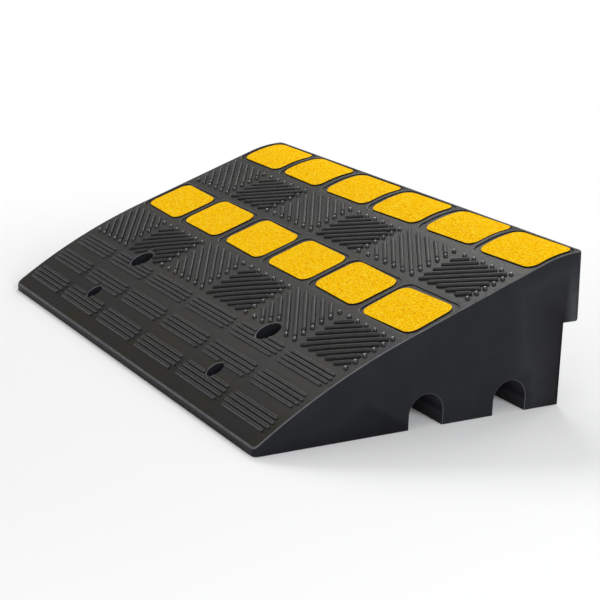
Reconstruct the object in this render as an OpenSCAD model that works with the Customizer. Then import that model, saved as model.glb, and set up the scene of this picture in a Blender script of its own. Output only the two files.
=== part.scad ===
// Kerb ramp: one moulded rubber body with a raised tread, and twelve
// yellow reflective pads bedded in shallow pockets of its top surface.
// The frame: X runs along the kerb, Y climbs from the toe to the kerb, Z is up.
// The origin is at the middle of the footprint, on the ground.

/* [Body] */
// Width of the ramp along the kerb
ramp_w = 600; // [540:1:720]
// Depth from the toe to the rear lip
ramp_d = 360; // [352:1:420]
// Height of the crest
ramp_h = 155; // [148:1:185]
// Height of the toe's front edge
toe_h = 8; // [6:0.5:11]
// Radius on the toe's upper edge
toe_r = 3; // [1:0.5:4]
// Angle of the straight part of the slope
slope_angle = 20; // [19:0.1:22]
// Depth over which the slope is curved, from the toe
curved_d = 158.5; // [120:0.5:180]
// Radius of the crest
crest_r = 132; // [110:1:200]
// Radius of the upright corners, seen from above
corner_r = 5; // [2:0.5:9]

/* [Rear lip] */
// How far the lip stands out over the face below it
lip_out = 20; // [10:1:30]
// Height of the lip's underside above the ground
lip_z = 84; // [60:1:110]
// How far the lip's face leans forward over its height
lip_lean = 2; // [0.5:0.5:4]
// Radius on the lip's upper edge
lip_r = 3; // [1:0.5:5]

/* [Channels] */
// Width of each drain and cable channel
channel_w = 38; // [24:1:46]
// Height of each channel
channel_h = 33; // [26:1:42]
// Distance from the toe to the middle of the front channel
front_channel_y = 183.5; // [165:0.5:195]
// Distance from the middle of the front channel to that of the rear one
channel_pitch = 97; // [85:0.5:110]

/* [Fixing holes] */
// Distance from the toe to the front pair of holes
front_hole_y = 37; // [35:0.5:39]
// Distance from the front pair to the rear pair
hole_pitch_y = 58; // [56:0.5:62]
// Diameter that the fixing passes through
fixing_d = 11; // [8:0.5:13]
// Diameter of the rear pair's wide entry
rear_entry_d = 25; // [22:0.5:28]
// Diameter of the front pair's wide entry
front_entry_d = 17; // [15:0.5:20]
// Height of the rear pair's seat above the ground
rear_seat_z = 20; // [10:1:35]
// Height of the front pair's seat above the ground
front_seat_z = 12; // [8:1:16]
// Plain rubber left between a hole's edge and the tread
hole_margin = 2.2; // [1.5:0.1:2.4]

/* [Columns and rows] */
// Plain strip between a column's edge and its tread
column_margin = 5; // [3:0.5:8]
// Further plain strip along the ramp's two ends
end_margin = 5; // [2:0.5:9]
// Plain strip behind the crest pockets
rear_land = 3.5; // [3:0.5:6]
// Plain strip between a row of ribs and the row of pads behind it
rib_lead = 7; // [4:0.5:9]
// Plain strip between a row of pads and the ribs behind it
pad_lead = 7; // [3:0.5:8]
// Plain strip between the bars and the lower ribs behind them
bar_lead = 7; // [5:0.5:11]
// Plain strip between two rows of bars
bar_gap = 12.2; // [10:0.1:13]
// Least plain strip between the lowest bars and the toe
toe_strip = 5; // [4:0.5:13]
// Depth of a row of ribs
rib_row_d = 58; // [50:0.5:59]

/* [Ribs and studs] */
// Height of the ribs and bars above the surface
tread_h = 2.5; // [0.8:0.1:3]
// Width of a slanting rib
rib_w = 4.4; // [3:0.1:5.5]
// Diameter of a stud
stud_d = 4.8; // [3.5:0.1:5.5]
// Height of a stud above the surface
stud_h = 3; // [1:0.1:3.5]
// Gap between a rib's end and its stud
stud_gap = 1.2; // [0.3:0.1:1.5]
// Number of studs along each side of a tile
studs = 6; // [4:1:7]
// Distance from a tile's plain side to its nearest stud
stud_side = 6; // [4:0.5:8]
// Distance from a tile's lower edge to its lowest stud
stud_foot = 3; // [2.8:0.1:4]
// Distance from a tile's upper edge to its highest stud
stud_head = 5.2; // [4:0.1:6]

/* [Bars] */
// Width of a bar
bar_w = 2.8; // [2:0.1:3.2]
// Distance from bar to bar
bar_pitch = 4.8; // [4.2:0.1:5]
// Number of bars in a tile
bars = 4; // [3:1:4]
// How much shorter the outer bars of a tile are, at each end
bar_step = 3; // [1:0.5:6]

/* [Pads] */
// Plain strip between a column's edge and its pockets
pocket_margin = 2.25; // [2:0.25:8]
// Depth of a lower pocket, seen from above
slope_pocket_d = 60; // [50:0.5:63]
// Depth of a crest pocket, seen from above
crest_pocket_d = 61; // [50:0.5:65]
// Radius of a pocket's corners
pocket_r = 11; // [5:0.5:14]
// How deep a pocket is sunk into the surface
pocket_sink = 1.7; // [1:0.1:4]
// Thickness of a pad
pad_t = 1.4; // [1:0.1:4]
// Gap between a pad's left or right edge and its pocket
pad_side_gap = 5.5; // [1:0.1:7]
// Gap between a pad's front or rear edge and its pocket
pad_end_gap = 3.3; // [1:0.1:6]
// Radius of a pad's corners
pad_r = 11; // [3:0.5:14]

/* [Hidden] */
$fn = 64;
rubber = "#3b3b3c";
yellow = "#f5c116";

// One pad and one tile of each row stands in a column
columns = 6;
// Room given to every cutter, so that no two faces lie in one plane
over = 10;
// How far the tread's roots reach into the body
root = 3;
// Straight steps that make up a rounded edge
edge_steps = 6;

col_w = ramp_w / columns;
pocket_w = col_w - 2 * pocket_margin;
top_rear_y = ramp_d - lip_lean;
rear_channel_y = front_channel_y + channel_pitch;
rear_hole_y = front_hole_y + hole_pitch_y;
hole_x = ramp_w / 2 - 1.5 * col_w;
bar_row_d = (bars - 1) * bar_pitch + bar_w;

// Rows, measured from the toe: each one starts a strip below the row behind it
crest_pocket_y = top_rear_y - rear_land - crest_pocket_d;
upper_rib_y = crest_pocket_y - rib_lead - rib_row_d;
slope_pocket_y = upper_rib_y - pad_lead - slope_pocket_d;
lower_rib_y = slope_pocket_y - rib_lead - rib_row_d;
// As many rows of bars as fit between the lower ribs and the toe's plain strip
bar_rows = floor((lower_rib_y - bar_lead - toe_strip + bar_gap) / (bar_row_d + bar_gap));
function bar_row_y(row) = lower_rib_y - bar_lead - bar_row_d - row * (bar_row_d + bar_gap);

// The top surface, in depth and height: a wide arc, a straight slope, the crest's arc
up = [-sin(slope_angle), cos(slope_angle)];
crest_c = [top_rear_y, ramp_h - crest_r];
crest_t = crest_c + crest_r * up;
slope_t = [curved_d, crest_t[1] - (crest_t[0] - curved_d) * tan(slope_angle)];
toe_off = [0, toe_h] - slope_t;
wide_r = (toe_off * toe_off) / (-2 * (toe_off * up));
wide_c = slope_t - wide_r * up;
// Steepness of the top surface where it meets the toe
toe_angle = atan2(wide_c[0], toe_h - wide_c[1]);
toe_c = [toe_r, toe_h + toe_r * tan(toe_angle) - toe_r / cos(toe_angle)];

// Points of a circular arc from one angle to another
function arc(centre, r, from, to) =
    [for (i = [0:edge_steps]) let (a = from + (to - from) * i / edge_steps)
        centre + r * [cos(a), sin(a)]];

// Everything below the top surface when that is raised by lift, in depth and height
module below_top(lift) {
    slope_p = slope_t + lift * up;
    crest_p = crest_t + lift * up;
    intersection() {
        translate(wide_c) circle(r = wide_r + lift, $fn = 720);
        translate([-over, -over]) square([slope_p[0] + over, slope_p[1] + 2 * over]);
    }
    polygon([[slope_p[0], -over], [crest_p[0], -over], crest_p, slope_p]);
    intersection() {
        translate(crest_c) circle(r = crest_r + lift, $fn = 360);
        translate([crest_p[0], -over])
            square([ramp_d + over - crest_p[0], ramp_h + lift + 2 * over]);
    }
}

// A drawing in depth and height, drawn out over the whole width
module across(width) {
    rotate([90, 0, 90])
        linear_extrude(height = width, center = true) children();
}

// A drawing seen from above, drawn up through the whole height
module upright() {
    translate([0, 0, -over]) linear_extrude(height = ramp_h + 3 * over) children();
}

// A layer that follows the top surface from low to high, cut to the drawing given
module top_layer(low, high) {
    intersection() {
        across(ramp_w + 2 * over) difference() {
            below_top(high);
            below_top(low);
        }
        upright() children();
    }
}

// A rectangle with rounded corners, centred in width, its front edge at y
module plate(x, y, w, d, r) {
    translate([x - w / 2, y]) {
        translate([r, 0]) square([w - 2 * r, d]);
        translate([0, r]) square([w, d - 2 * r]);
        for (cx = [r, w - r], cy = [r, d - r]) translate([cx, cy]) circle(r = r);
    }
}

// The side's outline: base, rear face, lip and toe, left open above the top surface
module side_outline() {
    lean = atan2(lip_lean, ramp_h - lip_z);
    polygon(concat(
        [[0, 0], [ramp_d - lip_out, 0], [ramp_d - lip_out, lip_z], [ramp_d, lip_z]],
        arc([top_rear_y - lip_r, ramp_h - lip_r], lip_r, lean, 90),
        [[toe_c[0] - toe_r * sin(toe_angle), ramp_h]],
        arc(toe_c, toe_r, 90 + toe_angle, 180)));
}

// The body before the tread is added and the openings are cut
module blank() {
    intersection() {
        across(ramp_w + 2 * over) intersection() {
            below_top(0);
            side_outline();
        }
        upright() plate(0, 0, ramp_w, ramp_d, corner_r);
    }
}

// The four fixing holes: place, and radius of the wide entry
holes = [for (side = [-1, 1], pair = [[front_hole_y, front_entry_d], [rear_hole_y, rear_entry_d]])
    [[side * hole_x, pair[0]], pair[1] / 2]];

// Where a line from p to q enters and leaves a circle, as shares of its length
function crossing(p, q, centre, r) =
    let (d = q - p, f = p - centre, a = d * d, b = 2 * (f * d), k = b * b - 4 * a * (f * f - r * r))
    k <= 0 ? [2, 2] : [(-b - sqrt(k)) / (2 * a), (-b + sqrt(k)) / (2 * a)];

// What is left of a line once it stops the given distance short of one hole's edge
function clear_of(p, q, far, hole) =
    let (t = crossing(p, q, hole[0], hole[1] + far))
    (t[0] >= 1 || t[1] <= 0) ? [[p, q]] :
    concat(t[0] > 0 ? [[p, p + t[0] * (q - p)]] : [],
           t[1] < 1 ? [[p + t[1] * (q - p), q]] : []);

// The same for a list of lines and all the holes
function clear_lines(lines, far, n = 0) =
    n == len(holes) ? lines :
    clear_lines([for (line = lines) each clear_of(line[0], line[1], far, holes[n])], far, n + 1);

// A stud whose place is too near a hole moves up along its rib
function clear_stud(stud, way, n = 0) =
    n == len(holes) ? stud :
    let (t = crossing(stud, stud + way, holes[n][0], holes[n][1] + hole_margin + stud_d / 2))
    clear_stud(t[0] < 0 && t[1] > 0 ? stud + t[1] * way : stud, way, n + 1);

// A flat bar with round ends, seen from above
module slot(p, q, w) {
    d = q - p;
    translate(p) rotate(atan2(d[1], d[0])) {
        translate([0, -w / 2]) square([norm(d), w]);
        for (end = [0, norm(d)]) translate([end, 0]) circle(d = w, $fn = 24);
    }
}

module slots(lines, w) {
    for (line = clear_lines(lines, hole_margin + w / 2))
        if (norm(line[1] - line[0]) > w / 8) slot(line[0], line[1], w);
}

// Left and right edge of the tread in a column
function tread_x0(col) = -ramp_w / 2 + col * col_w + column_margin + (col == 0 ? end_margin : 0);
function tread_x1(col) = -ramp_w / 2 + (col + 1) * col_w - column_margin
                         - (col == columns - 1 ? end_margin : 0);

// Step from stud to stud, across and up the ramp
function stud_step(col) =
    [(tread_x1(col) - tread_x0(col) - stud_d / 2 - stud_side) / (studs - 1),
     (rib_row_d - stud_foot - stud_head) / (studs - 1)];

// The way a tile's ribs run from their studs: upwards or downwards, to the left
function rib_way(col) = let (s = stud_step(col)) [-s[0], col % 2 == 0 ? s[1] : -s[1]];

// Studs stand along a tile's right side, and along the side where its ribs start
function tile_studs(col, y0) =
    let (s = stud_step(col), x = tread_x1(col) - stud_d / 2, y = y0 + stud_foot, way = rib_way(col),
         row_y = way[1] > 0 ? y : y + (studs - 1) * s[1])
    [for (place = concat([for (k = [0:studs - 1]) [x, y + k * s[1]]],
                         [for (k = [1:studs - 1]) [x - k * s[0], row_y]]))
        clear_stud(place, way)];

// A rib runs from its stud to the edge of the tile
function rib_line(stud, way, x_end, y_end) =
    let (start = (rib_w / 2 + stud_d / 2 + stud_gap) / norm(way),
         reach = min((x_end - stud[0]) / way[0], (y_end - stud[1]) / way[1]))
    reach > start ? [[stud + start * way, stud + reach * way]] : [];

module rib_tile(col, y0) {
    way = rib_way(col);
    x_end = tread_x0(col) + rib_w / 2;
    y_end = way[1] > 0 ? y0 + rib_row_d - rib_w / 2 : y0 + rib_w / 2;
    slots([for (stud = tile_studs(col, y0)) each rib_line(stud, way, x_end, y_end)], rib_w);
}

module bar_tile(col, y0) {
    slots([for (n = [0:bars - 1])
        let (y = y0 + bar_w / 2 + n * bar_pitch,
             in = bar_w / 2 + (n == 0 || n == bars - 1 ? bar_step : 0))
        [[tread_x0(col) + in, y], [tread_x1(col) - in, y]]], bar_w);
}

module ribs_and_bars() {
    top_layer(-root, tread_h) for (col = [0:columns - 1]) {
        rib_tile(col, upper_rib_y);
        rib_tile(col, lower_rib_y);
        for (row = [0:bar_rows - 1]) bar_tile(col, bar_row_y(row));
    }
}

module all_studs() {
    top_layer(-root, stud_h)
        for (col = [0:columns - 1], y0 = [upper_rib_y, lower_rib_y], stud = tile_studs(col, y0))
            translate(stud) circle(d = stud_d, $fn = 24);
}

// Middle of a column
function col_x(col) = -ramp_w / 2 + (col + 0.5) * col_w;

module pockets(y0, depth) {
    top_layer(-pocket_sink, over)
        for (col = [0:columns - 1]) plate(col_x(col), y0, pocket_w, depth, pocket_r);
}

module channel(y) {
    across(ramp_w + 2 * over) {
        translate([y - channel_w / 2, -over]) square([channel_w, channel_h - channel_w / 2 + over]);
        translate([y, channel_h - channel_w / 2]) circle(d = channel_w);
    }
}

// A fixing hole: narrow through the foot, wide from its seat up to the slope
module fixing_hole(place, seat_z, entry_r) {
    translate([place[0], place[1], -over]) cylinder(d = fixing_d, h = seat_z + 2 * over);
    translate([place[0], place[1], seat_z]) cylinder(r = entry_r, h = ramp_h);
}

module ramp_body() {
    color(rubber) translate([0, -ramp_d / 2, 0]) difference() {
        union() {
            blank();
            ribs_and_bars();
            all_studs();
        }
        pockets(slope_pocket_y, slope_pocket_d);
        pockets(crest_pocket_y, crest_pocket_d);
        channel(front_channel_y);
        channel(rear_channel_y);
        for (hole = holes)
            fixing_hole(hole[0], hole[0][1] == front_hole_y ? front_seat_z : rear_seat_z, hole[1]);
    }
}

// A pad lies on its pocket's floor, in the middle
module pad(col, y0, depth) {
    color(yellow) translate([0, -ramp_d / 2, 0])
        top_layer(-pocket_sink, pad_t - pocket_sink)
            plate(col_x(col), y0 + pad_end_gap,
                  pocket_w - 2 * pad_side_gap, depth - 2 * pad_end_gap, pad_r);
}

module slope_pad(col) pad(col, slope_pocket_y, slope_pocket_d);

module crest_pad(col) pad(col, crest_pocket_y, crest_pocket_d);

ramp_body();
slope_pad(0);  // slope_pad_1
slope_pad(1);  // slope_pad_2
slope_pad(2);  // slope_pad_3
slope_pad(3);  // slope_pad_4
slope_pad(4);  // slope_pad_5
slope_pad(5);  // slope_pad_6
crest_pad(0);  // crest_pad_1
crest_pad(1);  // crest_pad_2
crest_pad(2);  // crest_pad_3
crest_pad(3);  // crest_pad_4
crest_pad(4);  // crest_pad_5
crest_pad(5);  // crest_pad_6
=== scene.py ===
"""Kerb ramp: one moulded rubber body with a raised tread, and twelve yellow reflective pads.

Sizes are in millimetres and become metres when a mesh is made. The depth of a point is its
distance from the toe, up the slope. Across is the distance to the right of the middle.
"""

import logging
import math
from collections.abc import Callable, Iterable, Sequence
from dataclasses import dataclass, field
from enum import Enum

import bmesh
import bpy
import numpy as np
from mathutils import Matrix, Vector, geometry

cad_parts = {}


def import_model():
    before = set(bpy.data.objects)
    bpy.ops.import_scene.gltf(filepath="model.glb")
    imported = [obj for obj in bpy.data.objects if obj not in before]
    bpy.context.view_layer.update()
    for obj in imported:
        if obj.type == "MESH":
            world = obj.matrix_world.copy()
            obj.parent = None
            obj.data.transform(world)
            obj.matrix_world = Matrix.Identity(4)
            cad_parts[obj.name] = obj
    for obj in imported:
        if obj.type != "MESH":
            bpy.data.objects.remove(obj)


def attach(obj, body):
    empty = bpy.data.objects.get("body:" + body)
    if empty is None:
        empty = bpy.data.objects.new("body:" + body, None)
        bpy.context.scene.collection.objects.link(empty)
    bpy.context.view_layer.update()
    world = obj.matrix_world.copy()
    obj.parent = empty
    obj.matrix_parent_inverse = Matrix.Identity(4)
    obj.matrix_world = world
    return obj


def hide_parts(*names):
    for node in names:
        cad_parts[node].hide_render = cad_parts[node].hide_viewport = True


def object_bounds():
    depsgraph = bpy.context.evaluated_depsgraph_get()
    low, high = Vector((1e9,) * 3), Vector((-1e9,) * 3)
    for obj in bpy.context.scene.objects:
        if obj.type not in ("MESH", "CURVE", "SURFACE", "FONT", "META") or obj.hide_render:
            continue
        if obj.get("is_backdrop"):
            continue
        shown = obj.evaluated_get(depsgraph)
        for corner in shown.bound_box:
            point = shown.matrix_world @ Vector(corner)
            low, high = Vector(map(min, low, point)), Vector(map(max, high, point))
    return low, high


LOG = logging.getLogger("kerb_ramp")
MM = 0.001
BODY = "root"
RUBBER_SLOT = "rubber"
PAD_SLOT = "reflective_pad"
FROM_ABOVE = (0, 1)
FROM_THE_SIDE = (1, 2)
FACE_WEIGHT = 80
WHITE = (1.0, 1.0, 1.0, 1.0)

Flat = tuple[float, float]
Point = tuple[float, float, float]
Line = tuple[Flat, Flat]
Colour = tuple[float, float, float, float]


def put(name: str, data: bpy.types.ID) -> bpy.types.Object:
    """Make an object of a mesh, a lamp or a camera and put it in the scene.

    Args:
        name: Name of the object.
        data: What it is made of.

    Returns:
        The object.
    """
    made = bpy.data.objects.new(name, data)
    bpy.context.scene.collection.objects.link(made)
    return made


def smooth_step(share: float) -> float:
    """Ease a share from 0 to 1."""
    share = min(1.0, max(0.0, share))
    return share * share * (3.0 - 2.0 * share)


# The sizes


@dataclass(frozen=True)
class Slope:
    """The top surface seen from the side: a wide arc, a straight slope and the crest's arc."""

    width: float = 600.0
    depth: float = 360.0
    height: float = 155.0
    toe_height: float = 8.0
    angle: float = 20.0
    curved: float = 158.5
    crest_radius: float = 132.0
    lip_lean: float = 2.0

    STEP = 0.05

    @property
    def rise(self) -> float:
        """Height gained for each millimetre of depth on the straight slope."""
        return math.tan(math.radians(self.angle))

    @property
    def crest_centre(self) -> Flat:
        """Centre of the crest's arc, in depth and height."""
        return self.depth - self.lip_lean, self.height - self.crest_radius

    @property
    def crest_start(self) -> Flat:
        """Find where the straight slope meets the crest's arc.

        Returns:
            The depth and height there.
        """
        turn = math.radians(self.angle)
        depth, height = self.crest_centre
        return (depth - self.crest_radius * math.sin(turn),
                height + self.crest_radius * math.cos(turn))

    @property
    def straight_start(self) -> Flat:
        """Where the wide arc meets the straight slope."""
        depth, height = self.crest_start
        return self.curved, height - (depth - self.curved) * self.rise

    @property
    def wide_radius(self) -> float:
        """Find the wide arc, which runs from the toe and leaves in line with the slope.

        Returns:
            Its radius.
        """
        turn = math.radians(self.angle)
        back, down = -self.curved, self.toe_height - self.straight_start[1]
        return (back**2 + down**2) / (-2.0 * (down * math.cos(turn) - back * math.sin(turn)))

    @property
    def wide_centre(self) -> Flat:
        """Find the wide arc's centre.

        Returns:
            Its depth and height.
        """
        turn = math.radians(self.angle)
        depth, height = self.straight_start
        return (depth + self.wide_radius * math.sin(turn),
                height - self.wide_radius * math.cos(turn))

    def top(self, depth: float) -> float:
        """Give the height of the top surface.

        Args:
            depth: Distance from the toe.

        Returns:
            The height there.
        """
        if depth < self.straight_start[0]:
            centre, radius = self.wide_centre, self.wide_radius
        elif depth > self.crest_start[0]:
            centre, radius = self.crest_centre, self.crest_radius
        else:
            return self.straight_start[1] + (depth - self.straight_start[0]) * self.rise
        return centre[1] + math.sqrt(radius**2 - (depth - centre[0]) ** 2)

    def steepness(self, depth: float) -> float:
        """Give the height that the surface gains for each millimetre of depth there."""
        return (self.top(depth + self.STEP) - self.top(depth - self.STEP)) / (2 * self.STEP)


@dataclass(frozen=True)
class Hole:
    """A fixing hole: a wide entry from the slope down to its seat, and a narrow foot."""

    across: float
    depth: float
    entry: float
    seat: float
    foot: float = 11.0


@dataclass(frozen=True)
class Layout:
    """Where the columns, the rows and the fixing holes lie on the slope."""

    slope: Slope = Slope()
    columns: int = 6
    column_margin: float = 5.0
    end_margin: float = 5.0
    rear_land: float = 3.5
    rib_lead: float = 7.0
    pad_lead: float = 7.0
    bar_lead: float = 7.0
    bar_gap: float = 12.2
    bar_rows: int = 3
    rib_row: float = 58.0
    pocket_width: float = 95.5
    pocket_radius: float = 11.0
    pocket_sink: float = 1.7
    slope_pocket: float = 60.0
    crest_pocket: float = 61.0
    front_hole: float = 37.0
    front_entry: float = 17.0
    front_seat: float = 12.0
    hole_pitch: float = 58.0
    rear_entry: float = 25.0
    rear_seat: float = 20.0
    hole_margin: float = 2.2

    @property
    def column(self) -> float:
        """Width of a column."""
        return self.slope.width / self.columns

    @property
    def crest_row(self) -> float:
        """Front edge of the crest pockets."""
        return self.slope.depth - self.slope.lip_lean - self.rear_land - self.crest_pocket

    @property
    def upper_rib_row(self) -> float:
        """Front edge of the upper ribs."""
        return self.crest_row - self.rib_lead - self.rib_row

    @property
    def slope_row(self) -> float:
        """Front edge of the lower pockets."""
        return self.upper_rib_row - self.pad_lead - self.slope_pocket

    @property
    def lower_rib_row(self) -> float:
        """Front edge of the lower ribs."""
        return self.slope_row - self.rib_lead - self.rib_row

    @property
    def holes(self) -> list[Hole]:
        """Place the four fixing holes, in the second column from each side.

        Returns:
            The holes.
        """
        across = self.middle(self.columns - 2)
        pair = ((self.front_hole, self.front_entry, self.front_seat),
                (self.front_hole + self.hole_pitch, self.rear_entry, self.rear_seat))
        return [Hole(side * across, *sizes) for side in (-1, 1) for sizes in pair]

    def middle(self, column: int) -> float:
        """Middle of a column."""
        return (column + 0.5) * self.column - self.slope.width / 2

    def sides(self, column: int) -> Flat:
        """Find the tread's edges in a column.

        Args:
            column: Its number, from the left.

        Returns:
            The left and the right edge.
        """
        left = column * self.column - self.slope.width / 2
        first, last = column == 0, column == self.columns - 1
        return (left + self.column_margin + self.end_margin * first,
                left + self.column - self.column_margin - self.end_margin * last)


# Making meshes


@dataclass(frozen=True)
class Station:
    """A point of a closed outline seen from above, with the way that is outwards there."""

    across: float
    depth: float
    out: Flat

    def moved(self, inwards: float) -> Flat:
        """The point moved square to the outline."""
        return self.across - self.out[0] * inwards, self.depth - self.out[1] * inwards


def rounded(left: float, right: float, front: float, rear: float, radius: float,
            turns: int, steps: tuple[int, int]) -> list[Station]:
    """Draw a rectangle with rounded corners, from the front right corner anticlockwise.

    Args:
        left: Left edge.
        right: Right edge.
        front: Front edge.
        rear: Rear edge.
        radius: Radius of the corners.
        turns: Steps in each corner.
        steps: Steps along the front and rear edges, and along the two sides.

    Returns:
        The stations of the outline.
    """
    centres = [(right - radius, front + radius), (right - radius, rear - radius),
               (left + radius, rear - radius), (left + radius, front + radius)]
    corners = []
    for number, (x, y) in enumerate(centres):
        angles = [math.radians(90.0 * (number - 1 + k / turns)) for k in range(turns + 1)]
        corners.append([Station(x + radius * math.cos(a), y + radius * math.sin(a),
                                (math.cos(a), math.sin(a))) for a in angles])
    stations = []
    for number, corner in enumerate(corners):
        stations += corner
        start, end = corner[-1], corners[(number + 1) % 4][0]
        count = steps[(number + 1) % 2]
        stations += [Station(start.across + (end.across - start.across) * k / count,
                             start.depth + (end.depth - start.depth) * k / count, start.out)
                     for k in range(1, count)]
    return stations


def circle(across: float, depth: float, radius: float, count: int) -> list[Station]:
    """Draw a circle seen from above.

    Args:
        across: Its middle across the ramp.
        depth: Its middle from the toe.
        radius: Its radius.
        count: Number of its points.

    Returns:
        The stations of the outline.
    """
    turns = [math.tau * k / count for k in range(count)]
    ways = [(math.cos(turn), math.sin(turn)) for turn in turns]
    return [Station(across + radius * way[0], depth + radius * way[1], way) for way in ways]


def inside(points: np.ndarray, loop: np.ndarray) -> np.ndarray:
    """Say which points lie inside a closed loop.

    Args:
        points: The points, one to a row.
        loop: The loop's corners, one to a row.

    Returns:
        A flag for each point.
    """
    after = np.roll(loop, -1, axis=0)
    x, y = points[:, :1], points[:, 1:]
    straddles = (loop[:, 1] > y) != (after[:, 1] > y)
    run = np.where(after[:, 1] == loop[:, 1], 1.0, after[:, 1] - loop[:, 1])
    cut = loop[:, 0] + (y - loop[:, 1]) * (after[:, 0] - loop[:, 0]) / run
    return np.count_nonzero(straddles & (x < cut), axis=1) % 2 == 1


def clearance(points: np.ndarray, loop: np.ndarray) -> np.ndarray:
    """Give each point's distance from a closed loop.

    Args:
        points: The points, one to a row.
        loop: The loop's corners, one to a row.

    Returns:
        The distances.
    """
    run = np.roll(loop, -1, axis=0) - loop
    away = points[:, None, :] - loop
    square = np.maximum((run * run).sum(1), np.finfo(float).tiny)
    share = np.clip((away * run).sum(2) / square, 0.0, 1.0)
    return np.linalg.norm(away - share[..., None] * run, axis=2).min(1)


class Shell:
    """Points and faces of one closed skin, in millimetres, with a share of edge colour at each
    point: worn edges with a painted highlight on the rubber, near-black sides on the pads.
    """

    SAME_PLACE = 1e-7  # millimetres
    MERGED = 2e-7  # metres
    SHORTEST_EDGE = 1e-7  # metres
    SQUARE_TO_AXIS = 0.99999  # greatest part of a flat face's normal

    def __init__(self) -> None:
        """Start with an empty skin."""
        self.points: list[Point] = []
        self.edge_and_highlight_share: list[float] = []
        self.faces: list[list[int]] = []

    def add(self, points: Iterable[Point], edge_and_highlight_share: float = 0.0) -> list[int]:
        """Add points.

        Args:
            points: The points.
            edge_and_highlight_share: Share of edge colour there, from 0 to 1: worn edges with a
                painted highlight on the rubber, near-black sides on the pads.

        Returns:
            Their numbers.
        """
        first = len(self.points)
        self.points.extend(points)
        self.edge_and_highlight_share.extend([edge_and_highlight_share] * (len(self.points) - first))
        return list(range(first, len(self.points)))

    def strip(self, one: Sequence[int], other: Sequence[int], closed: bool = True) -> None:
        """Join two rows of the same number of points with faces."""
        pairs = list(zip(one, other, strict=True))
        for (a, b), (c, d) in zip(pairs, pairs[1:] + (pairs[:1] if closed else []), strict=False):
            self.faces.append([a, c, d, b])

    def strips(self, rings: Sequence[Sequence[int]], closed: bool = True) -> None:
        """Join each row of points to the next."""
        for one, other in zip(rings, rings[1:], strict=False):
            self.strip(one, other, closed)

    def fill(self, loops: Sequence[Sequence[int]], axes: tuple[int, int],
             grid: np.ndarray | None = None,
             place: Callable[[float, float], Point] | None = None,
             margin: float = 1.0) -> None:
        """Fill the area between an outer loop and the loops in it with triangles.

        Args:
            loops: The loops, the outer one first.
            axes: The two axes in which the area is seen flat.
            grid: Places of further points in it, one to a row.
            place: Gives the point for such a place.
            margin: Least distance of a further point from the loops.
        """
        outlines = [np.array([[self.points[i][a] for a in axes] for i in loop]) for loop in loops]
        numbers = [i for loop in loops for i in loop]
        if grid is not None and place is not None:
            kept = self._within(grid, outlines)
            for outline in outlines:
                kept &= clearance(grid, outline) > margin
            numbers += self.add(place(*spot) for spot in grid[kept].tolist())
        flat = [Vector([self.points[i][a] for a in axes]) for i in numbers]
        edges, first = [], 0
        for loop in loops:
            edges += [(first + k, first + (k + 1) % len(loop)) for k in range(len(loop))]
            first += len(loop)
        found, _, triangles, source, _, _ = geometry.delaunay_2d_cdt(
            flat, edges, [], 0, self.SAME_PLACE, True)
        corners = np.array(triangles)
        spots = np.array([point[:] for point in found])
        kept = self._within(spots[corners].mean(axis=1), outlines)
        for corner in corners[kept].tolist():
            self.faces.append([numbers[source[k][0]] for k in corner])

    @staticmethod
    def _within(points: np.ndarray, outlines: list[np.ndarray]) -> np.ndarray:
        """Say which points lie in the outer loop and in none of the loops in it.

        Args:
            points: The points, one to a row.
            outlines: The loops, the outer one first.

        Returns:
            A flag for each point.
        """
        kept = inside(points, outlines[0])
        for outline in outlines[1:]:
            kept &= ~inside(points, outline)
        return kept

    def mesh(self, name: str) -> bpy.types.Mesh:
        """Turn the skin into a mesh with outward faces, in metres, in the part's frame.

        Args:
            name: Name of the mesh.

        Returns:
            The mesh.
        """
        mesh = bpy.data.meshes.new(name)
        faces = [list(dict.fromkeys(face)) for face in self.faces]
        mesh.from_pydata([[MM * v for v in p] for p in self.points], [],
                         [face for face in faces if len(face) > 2])
        # Share of edge colour: worn edges with a painted highlight on the rubber, near-black sides
        # on the pads
        edge_and_highlight = mesh.attributes.new("edge_and_highlight_share", "FLOAT", "POINT")
        edge_and_highlight.data.foreach_set("value", self.edge_and_highlight_share)
        work = bmesh.new()
        work.from_mesh(mesh)
        bmesh.ops.remove_doubles(work, verts=work.verts, dist=self.MERGED)
        bmesh.ops.dissolve_degenerate(work, edges=work.edges, dist=self.SHORTEST_EDGE)
        stray = [point for point in work.verts if not point.link_faces]
        bmesh.ops.delete(work, geom=stray, context="VERTS")
        bmesh.ops.recalc_face_normals(work, faces=work.faces)
        loose = sum(1 for edge in work.edges if len(edge.link_faces) != 2)
        if loose:
            LOG.warning("%s: %d edges aren't shared by two faces", name, loose)
        for face in work.faces:
            face.smooth = max(abs(v) for v in face.normal) < self.SQUARE_TO_AXIS
        work.to_mesh(mesh)
        work.free()
        return mesh


def rows_of(left: float, right: float, front: float, rear: float,
            pitch: Flat) -> np.ndarray:
    """Lay out places in rows, every other row set off by half a step.

    Args:
        left: Left edge.
        right: Right edge.
        front: First row.
        rear: Last row.
        pitch: About how far the places lie apart, across and in depth.

    Returns:
        The places, one to a row.
    """
    spots = []
    columns = max(1, round((right - left) / pitch[0]))
    count = max(1, round((rear - front) / pitch[1]))
    for row in range(count + 1):
        shift = 0.5 * (row % 2)
        spots += [(left + (right - left) * (k + shift) / columns,
                   front + (rear - front) * row / count) for k in range(columns + 1)]
    return np.array(spots)


# Node trees


@dataclass(frozen=True)
class Noise:
    """A noise, with a soft step in it.

    The size is that of its blotches in millimetres, detail and rough are the number and the
    strength of its finer layers, and the step rises between two values of the noise.
    """

    size: float
    detail: float = 2.0
    rough: float = 0.5
    step: Flat = (0.0, 1.0)


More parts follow.
